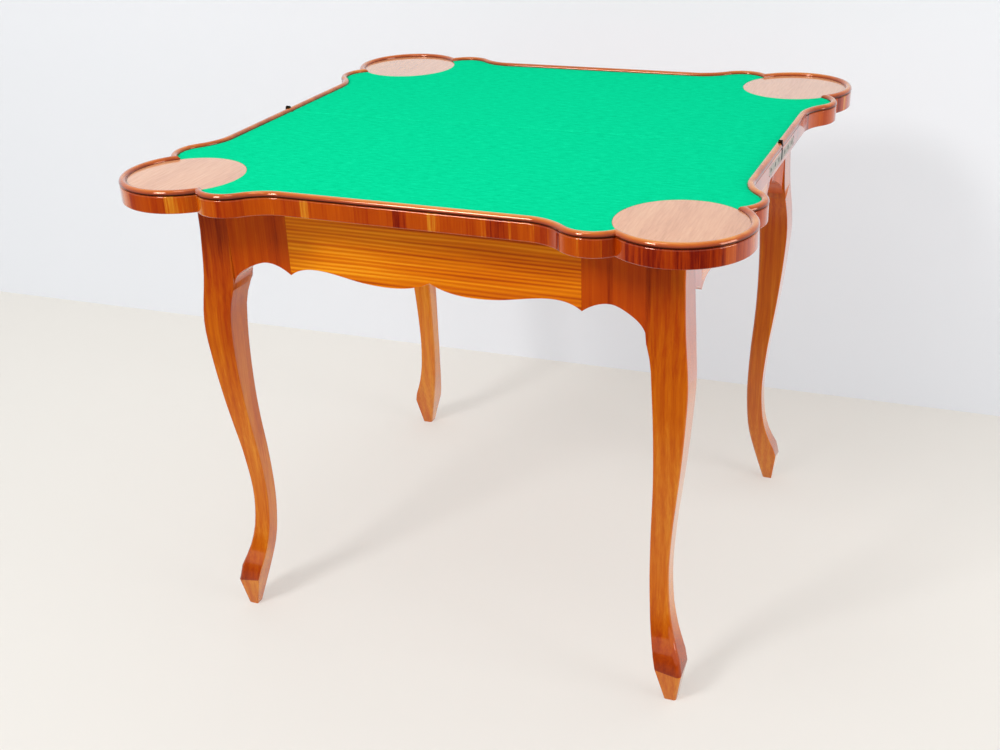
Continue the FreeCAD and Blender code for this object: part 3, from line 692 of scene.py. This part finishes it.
def makeDiscs():
    for end in ("front", "rear"):
        for side in ("right", "left"):
            node = end + "_" + side + "_candle_disc"
            low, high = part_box(node)
            deselectAll()
            bpy.ops.mesh.primitive_cylinder_add(
                vertices=candleDisc["edges"], radius=(high.x - low.x) / 2, depth=high.z - low.z,
                location=(low + high) / 2)
            piece = bpy.context.active_object
            piece.name = end + side.capitalize() + "Disc"
            bpy.ops.object.transform_apply(location=True, rotation=True, scale=True)
            rounded = piece.modifiers.new("edge", "BEVEL")
            rounded.width = candleDisc["round"]
            rounded.segments = candleDisc["roundSteps"]
            rounded.limit_method = "ANGLE"
            applyAll(piece)
            smooth(piece)
            fitOut(piece, materials["disc"], [node])


makeDiscs()
print("candle discs made")


# Baize: one cloth over both leaves, creased at the fold

cloth = {
    "bridge": 8 * mm, "creaseDepth": 1.3 * mm, "creaseReach": 7 * mm, "skin": 0.1 * mm,
    "flatWithin": math.radians(1),
    "rows": (-20, -12, -7, -5, -3.5, -2, -1, 0, 1, 2, 3.5, 5, 7, 12, 20),  # millimetres
}


def makeCloth():
    halves = [copyOf(nodes[end + "_leaf_baize"], end + "Cloth") for end in ("front", "rear")]
    piece = joinUp(halves, "baizeField")
    low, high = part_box("front_leaf_baize")
    bpy.ops.object.mode_set(mode="EDIT")
    bpy.ops.mesh.select_all(action="SELECT")
    bpy.ops.mesh.remove_doubles(threshold=weld)
    bpy.ops.mesh.select_all(action="DESELECT")
    bpy.ops.object.mode_set(mode="OBJECT")
    for face in piece.data.polygons:
        face.select = abs(face.center.y) < top["joinWithin"] and abs(face.normal.y) > squareOn
    bpy.ops.object.mode_set(mode="EDIT")
    bpy.ops.mesh.select_mode(type="FACE")
    bpy.ops.mesh.delete(type="FACE")
    bpy.ops.mesh.select_mode(type="VERT")
    bpy.ops.mesh.select_all(action="SELECT")
    bpy.ops.mesh.remove_doubles(threshold=top["joinWithin"])
    bpy.ops.mesh.dissolve_limited(angle_limit=cloth["flatWithin"])
    for row in cloth["rows"]:
        bpy.ops.mesh.select_all(action="SELECT")
        bpy.ops.mesh.bisect(plane_co=(0, row * mm, 0), plane_no=(0, 1, 0))
    bpy.ops.object.mode_set(mode="OBJECT")
    for vertex in piece.data.vertices:
        near = 1 - abs(vertex.co.y) / cloth["creaseReach"]
        if near > 0 and vertex.co.z > high.z - cloth["skin"]:
            vertex.co.z -= cloth["creaseDepth"] * near ** 2
    smooth(piece)
    piece.data.materials.clear()
    piece.data.materials.append(materials["baize"])
    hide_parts("front_leaf_baize", "rear_leaf_baize")
    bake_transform(piece)


makeCloth()
print("baize laid")


# Legs: a square that is drawn up the leg's curve, then rounded along its arrises

leg = {
    "post": 50 * mm,
    "footOut": 0.10,  # shares of the post's width, out from its corner
    "footIn": -0.26,
    "ridgeShare": 0.078,  # shares of the height: the ridge, the straight post, the blocks
    "postShare": 0.915,
    "blockShare": 0.79,
    "steps": 34,
    "roundest": 11 * mm,
    "roundSteps": 6,
    "outerShare": 0.33,  # shares of the roundest, for each kind of arris
    "sideShare": 0.14,
    "innerShare": 0.5,
    "footShare": 0.45,
    "tightShare": 0,
    "toeShares": (0.1, 0.2),  # between these heights the outer arris gets its roundest
    "droop": 7 * mm,
    "levelWithin": 1 * mm,
    "ridgeWithin": 0.5 * mm,
    "arrisWithin": 0.2,
    "outer": (  # height as a share, and the face's place as a share of the post
        (0.078, 0.26), (0.098, 0.19), (0.125, 0.03), (0.160, -0.14), (0.209, -0.28),
        (0.290, -0.34), (0.391, -0.24), (0.460, -0.12), (0.530, 0.0), (0.628, 0.13),
        (0.718, 0.19), (0.823, 0.055), (0.915, 0.0)),
    "inner": (
        (0.078, -0.54), (0.139, -0.74), (0.181, -0.83), (0.251, -0.895), (0.307, -0.90),
        (0.391, -0.86), (0.460, -0.80), (0.516, -0.765), (0.586, -0.75), (0.655, -0.76),
        (0.708, -0.79), (0.757, -0.845), (0.806, -1.0), (0.915, -1.0)),
}


def curveAt(line, level):
    # A smooth curve through the line's points, in shares of the post's width
    for i in range(len(line) - 1):
        if level <= line[i + 1][0] or i == len(line) - 2:
            break
    (x0, y0), (x1, y1) = line[i], line[i + 1]
    before = line[i - 1] if i > 0 else line[i]
    after = line[i + 2] if i + 2 < len(line) else line[i + 1]
    width = x1 - x0
    slope0 = (y1 - before[1]) / (x1 - before[0]) * width
    slope1 = (after[1] - y0) / (after[0] - x0) * width
    t = min(max((level - x0) / width, 0), 1)
    return (
        (2 * t ** 3 - 3 * t ** 2 + 1) * y0 + (t ** 3 - 2 * t ** 2 + t) * slope0
        + (3 * t ** 2 - 2 * t ** 3) * y1 + (t ** 3 - t ** 2) * slope1)


def makeLeg():
    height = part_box("front_right_leg")[1].z
    faceBlock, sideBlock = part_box("front_right_face_block"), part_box("front_right_side_block")
    corner = Vector((sideBlock[1].x, faceBlock[0].y, 0))
    post = leg["post"]

    def squareAt(share):
        if share == 0:
            return leg["footOut"] * post, leg["footIn"] * post
        if share >= leg["postShare"]:
            return 0.0, -post
        return curveAt(leg["outer"], share) * post, curveAt(leg["inner"], share) * post

    span = leg["postShare"] - leg["ridgeShare"]
    shares = [leg["ridgeShare"] + span * i / leg["steps"] for i in range(leg["steps"] + 1)]
    out, inn = squareAt(0)
    middle = Vector((corner.x + (out + inn) / 2, corner.y - (out + inn) / 2, 0))
    deselectAll()
    bpy.ops.mesh.primitive_plane_add(size=out - inn, location=middle)
    piece = bpy.context.active_object
    piece.name = "frontRightLeg"
    bpy.ops.object.transform_apply(location=True, rotation=True, scale=True)
    bpy.ops.object.mode_set(mode="EDIT")
    bpy.ops.mesh.select_all(action="SELECT")
    width = out - inn
    for share in shares + [1.0]:
        out, inn = squareAt(share)
        nextMiddle = Vector((
            corner.x + (out + inn) / 2, corner.y - (out + inn) / 2, share * height))
        bpy.ops.mesh.extrude_region_move(
            TRANSFORM_OT_translate={"value": nextMiddle - middle})
        ratio = (out - inn) / width
        bpy.ops.transform.resize(value=(ratio, ratio, 1), center_override=nextMiddle)
        middle, width = nextMiddle, out - inn
    bpy.ops.mesh.select_all(action="SELECT")
    bpy.ops.mesh.normals_make_consistent(inside=False)
    bpy.ops.object.mode_set(mode="OBJECT")
    droopRidge(piece, corner, leg["ridgeShare"] * height)
    weighArrises(piece, corner, height)
    rounded = piece.modifiers.new("arrises", "BEVEL")
    rounded.limit_method = "WEIGHT"
    rounded.width = leg["roundest"]
    rounded.segments = leg["roundSteps"]
    applyAll(piece)
    smooth(piece)
    markRidge(piece, leg["ridgeShare"] * height)
    markToe(piece, leg["ridgeShare"] * height - leg["droop"])
    return piece


def weighArrises(piece, corner, height):
    # The outer and inner arrises are the roundest, the ones against the blocks stay sharp
    mesh = piece.data
    weights = mesh.attributes.new("bevel_weight_edge", "FLOAT", "EDGE")
    for edge in mesh.edges:
        a, b = [mesh.vertices[i].co for i in edge.vertices]
        if abs(a.z - b.z) < leg["levelWithin"]:
            continue
        centre = (a + b) / 2
        share = centre.z / height
        out = curveAt(leg["outer"], share) if share < leg["postShare"] else 0
        inn = curveAt(leg["inner"], share) if share < leg["postShare"] else -1
        outer = (out - leg["arrisWithin"]) * leg["post"]
        inner = (inn + leg["arrisWithin"]) * leg["post"]
        isOuter = centre.x > corner.x + outer and centre.y < corner.y - outer
        isInner = centre.x < corner.x + inner and centre.y > corner.y - inner
        if share > leg["blockShare"]:
            weights.data[edge.index].value = leg["outerShare"] if isOuter else leg["tightShare"]
        elif isOuter and share < leg["ridgeShare"]:
            weights.data[edge.index].value = leg["footShare"]
        elif isOuter:
            low, high = leg["toeShares"]
            toe = min(max((high - share) / (high - low), 0), 1)
            weights.data[edge.index].value = leg["outerShare"] * (1 - toe) + toe
        else:
            weights.data[edge.index].value = leg["innerShare" if isInner else "sideShare"]


def droopRidge(piece, corner, level):
    # The ridge round the toe hangs lowest at its outer corner
    ring = [
        vertex for vertex in piece.data.vertices
        if abs(vertex.co.z - level) < leg["levelWithin"]]
    lowest = max(ring, key=lambda vertex: vertex.co.x - vertex.co.y)
    lowest.co.z -= leg["droop"]


def markRidge(piece, level):
    # The ridge round the toe stays a crisp line
    mesh = piece.data
    sharp = mesh.attributes.get("sharp_edge") or mesh.attributes.new(
        "sharp_edge", "BOOLEAN", "EDGE")
    for edge in mesh.edges:
        a, b = [mesh.vertices[i].co for i in edge.vertices]
        if max(abs(a.z - level), abs(b.z - level)) < leg["ridgeWithin"]:
            sharp.data[edge.index].value = True


def markToe(piece, level):
    # The outer faces above the ridge, for their darker wood
    stained = piece.data.attributes.new(toeStain["attribute"], "FLOAT", "FACE")
    for face in piece.data.polygons:
        looksOut = face.normal.x - face.normal.y > toeStain["looksOut"]
        stained.data[face.index].value = 1 if looksOut and face.center.z > level else 0


def makeLegs():
    first = makeLeg()
    turns = {
        "front_right": None, "front_left": mirrorX,
        "rear_right": mirrorY, "rear_left": mirrorX @ mirrorY,
    }
    for corner, matrix in turns.items():
        end, side = corner.split("_")
        name = end + side.capitalize() + "Leg"
        piece = first if matrix is None else copyOf(first, name, matrix)
        if end == "rear":
            trimTop(piece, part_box(corner + "_leg")[1].z)
        fitOut(piece, materials["leg"], [corner + "_leg"])


def trimTop(piece, level):
    for vertex in piece.data.vertices:
        vertex.co.z = min(vertex.co.z, level)


makeLegs()
print("legs made")


# Boards and blocks of the frame: the frame's own shapes with their arrises eased

board = {
    "arris": 0.9 * mm, "blockArris": 0.35 * mm, "arrisSteps": 2,
    "sharpFrom": math.radians(30), "flatWithin": math.radians(0.6),
}


def easedCopy(node, name, material, arris):
    piece = copyOf(nodes[node], name)
    takeUp(piece)
    bpy.ops.object.mode_set(mode="EDIT")
    bpy.ops.mesh.select_all(action="SELECT")
    bpy.ops.mesh.remove_doubles(threshold=weld)
    bpy.ops.mesh.dissolve_limited(angle_limit=board["flatWithin"])
    bpy.ops.object.mode_set(mode="OBJECT")
    eased = piece.modifiers.new("arris", "BEVEL")
    eased.width = arris
    eased.segments = board["arrisSteps"]
    eased.limit_method = "ANGLE"
    eased.angle_limit = board["sharpFrom"]
    applyAll(piece)
    smooth(piece)
    fitOut(piece, material, [node])


def makeBoards():
    for end in ("front", "rear"):
        easedCopy(end + "_apron", end + "Apron", materials["apron"], board["arris"])
        for side in ("right", "left"):
            stem = end + "_" + side
            label = end + side.capitalize()
            for kind in ("face", "side"):
                easedCopy(stem + "_" + kind + "_block", label + kind.capitalize() + "Block",
                          materials["block"], board["blockArris"])
            easedCopy(side + "_" + end + "_flap", side + end.capitalize() + "Flap",
                      materials["flap"], board["arris"])


makeBoards()
print("boards and blocks eased")


# Hinge plates of the leaves

hinge = {"arris": 0.3 * mm}


def makeHinges():
    for end in ("front", "rear"):
        for side in ("right", "left"):
            node = end + "_" + side + "_leaf_hinge_plate"
            easedCopy(node, end + side.capitalize() + "HingePlate", materials["hinge"],
                      hinge["arris"])


makeHinges()
print("hinges made")


# Nodes that keep their shape and get their material

def dressRest():
    kept = {
        "_leaf_panel": "under", "_corner_blocks": "carcass", "_batten": "carcass",
        "_hinge_leaves": "brass", "_hinge_screws": "steel", "_batten_screws": "steel",
        "_hinge_pin": "steel", "_hinge_pins": "steel",
    }
    count = 0
    for name, node in nodes.items():
        if node.hide_render:
            continue
        kind = next(value for ending, value in kept.items() if name.endswith(ending))
        for slot in node.material_slots:
            slot.material = materials[kind]
        count += 1
    print("frame nodes dressed:", count)


dressRest()


# Stage: a pale floor and a pale wall behind the table, soft light from the front and above

stage = {
    "floorSize": 14.0,
    "floor": ("#ECEAE5", "#EBE7E0"),  # the paint, and how it shows in the light of the room
    "wall": ("#ECEDF0", "#E8EBEF"),
    "lift": 0.5,  # how much of the shown colour stands in for the lit paint
    "wallPlace": (-0.497, 0.694, 0),
    "wallTurn": math.radians(1.8),
    "wallSize": (14.0, 6.0),
    "darkReflectionSpan": (-1.0, -0.1),  # painted reflection: in front of the table the polish and metal mirror the floor darker than it is seen
    "paintedFrontReflection": "#606060",
    "ambient": 0.6,  # as light on the table
    "ambientSeen": 0.82,  # as seen, also in polish and metal
    "key": {"place": (-1.2, -2.7, 2.7), "size": 0.8, "power": 64},
    "over": {"place": (-0.3, -1.1, 3.1), "size": 0.7, "power": 8},
    "side": {"place": (3.2, -0.5, 1.2), "size": 1.4, "power": 34},
    "aim": Vector((0, 0, 0.6)),
}


def addPaint(piece, name, colours, oneSided):
    # Matt paint, lifted for the camera so that the table's shadow stays faint. Polish
    # and metal mirror its seen colour, with a painted darker reflection towards the front of
    # the room that only mirrored rays see. A one-sided wall is clear from behind, so that the
    # back can be looked at.
    material, tree = newMaterial(name)
    rays = addNode(tree, "ShaderNodeLightPath")
    lift = addNode(tree, "ShaderNodeMath", {
        "operation": "MULTIPLY", 1: stage["lift"]}, {0: rays.outputs["Is Camera Ray"]})
    mirrored = addNode(tree, "ShaderNodeMath", {"operation": "MAXIMUM"}, {
        0: rays.outputs["Is Glossy Ray"], 1: rays.outputs["Is Transmission Ray"]})
    share = addNode(tree, "ShaderNodeMath", {"operation": "MAXIMUM"}, {
        0: lift.outputs[0], 1: mirrored.outputs[0]})
    place = addNode(tree, "ShaderNodeTexCoord")
    parts = addNode(tree, "ShaderNodeSeparateXYZ", links={0: place.outputs["Object"]})
    rear = addNode(tree, "ShaderNodeMapRange", {
        "From Min": stage["darkReflectionSpan"][0], "From Max": stage["darkReflectionSpan"][1]}, {
        0: parts.outputs["Y"]})
    front = addNode(tree, "ShaderNodeMath", {"operation": "SUBTRACT", 0: 1}, {
        1: rear.outputs[0]})
    # Painted reflection: towards the front, the floor shows darker to mirrored rays only
    paintedDarkReflection = addNode(tree, "ShaderNodeMath", {"operation": "MULTIPLY"}, {
        0: front.outputs[0], 1: mirrored.outputs[0]})
    glowColour = addNode(tree, "ShaderNodeMix", {
        "data_type": "RGBA", 6: hexColour(colours[1]), 7: hexColour(stage["paintedFrontReflection"])}, {
        0: paintedDarkReflection.outputs[0]})
    paint = addNode(tree, "ShaderNodeBsdfDiffuse", {"Color": hexColour(colours[0])})
    glow = addNode(tree, "ShaderNodeEmission", links={"Color": glowColour.outputs[2]})
    shown = addNode(tree, "ShaderNodeMixShader", links={
        0: share.outputs[0], 1: paint.outputs[0], 2: glow.outputs[0]}).outputs[0]
    if oneSided:
        sides = addNode(tree, "ShaderNodeNewGeometry")
        clear = addNode(tree, "ShaderNodeBsdfTransparent")
        shown = addNode(tree, "ShaderNodeMixShader", links={
            0: sides.outputs["Backfacing"], 1: shown, 2: clear.outputs[0]}).outputs[0]
    addNode(tree, "ShaderNodeOutputMaterial", links={"Surface": shown})
    piece.data.materials.append(material)


def addFloor():
    deselectAll()
    bpy.ops.mesh.primitive_plane_add(size=stage["floorSize"])
    floor = bpy.context.active_object
    floor.name = "studioFloor"
    addPaint(floor, "paintedFloor", stage["floor"], False)


def addWall():
    deselectAll()
    bpy.ops.mesh.primitive_plane_add(
        size=1, location=stage["wallPlace"], rotation=(math.radians(90), 0, stage["wallTurn"]))
    wall = bpy.context.active_object
    wall.name = "studioWall"
    wall.scale = (*stage["wallSize"], 1)
    addPaint(wall, "paintedWall", stage["wall"], True)


def addRoom():
    world = bpy.data.worlds.new("studioRoom")
    bpy.context.scene.world = world
    world.use_nodes = True
    tree = world.node_tree
    tree.nodes.clear()
    rays = addNode(tree, "ShaderNodeLightPath")
    mirrored = addNode(tree, "ShaderNodeMath", {"operation": "MAXIMUM"}, {
        0: rays.outputs["Is Glossy Ray"], 1: rays.outputs["Is Transmission Ray"]})
    seen = addNode(tree, "ShaderNodeMath", {"operation": "MAXIMUM"}, {
        0: rays.outputs["Is Camera Ray"], 1: mirrored.outputs[0]})
    strength = addNode(tree, "ShaderNodeMix", {
        2: stage["ambient"], 3: stage["ambientSeen"]}, {0: seen.outputs[0]})
    glow = addNode(tree, "ShaderNodeBackground", {"Color": hexColour("#FFFFFF")}, {
        "Strength": strength.outputs[0]})
    addNode(tree, "ShaderNodeOutputWorld", links={"Surface": glow.outputs[0]})


def addLamp(name):
    settings = stage[name]
    data = bpy.data.lights.new(name + "Lamp", "AREA")
    data.shape = "SQUARE"
    data.size = settings["size"]
    data.energy = settings["power"]
    lamp = bpy.data.objects.new(name + "Lamp", data)
    bpy.context.scene.collection.objects.link(lamp)
    lamp.location = settings["place"]
    towards = stage["aim"] - lamp.location
    lamp.rotation_euler = towards.to_track_quat("-Z", "Y").to_euler()


addFloor()
addWall()
addRoom()
for name in ("key", "over", "side"):
    addLamp(name)
bpy.context.scene.view_settings.view_transform = "Standard"
print("stage set")
